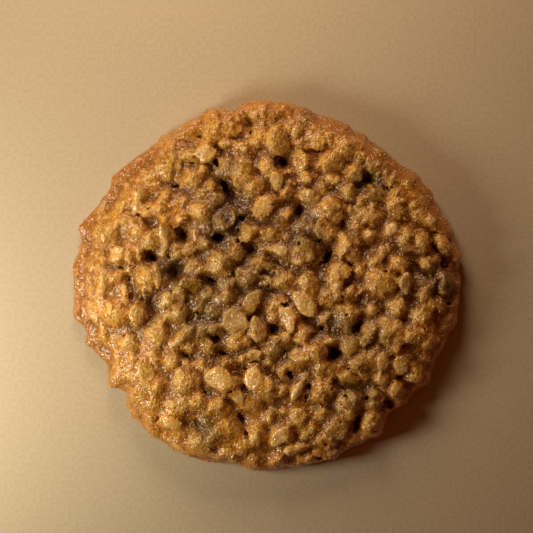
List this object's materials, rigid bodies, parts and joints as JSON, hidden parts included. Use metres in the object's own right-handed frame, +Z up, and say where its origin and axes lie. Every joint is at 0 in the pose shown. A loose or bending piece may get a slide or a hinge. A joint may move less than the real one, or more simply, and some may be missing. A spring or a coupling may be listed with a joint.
{
  "type": "oatmeal cookie",
  "caption": "Round baked oatmeal cookie: one craggy golden brown solid with a low dome, oat flakes in relief and a flat underside.",
  "frame": {"origin": "middle of the cookie's box, on the surface that it lies on", "axes": "+Z up through the thickness, +X to the picture's right and +Y to its top; +X is the longest extent"},
  "size_m": [0.0976, 0.0926, 0.0121],
  "materials": {
    "crust": "golden brown baked dough with a half matt, finely grained surface, paler oat flakes and darker crevices"
  },
  "bodies": {
    "root": {"cookie": "crust"}
  },
  "joints": []
}
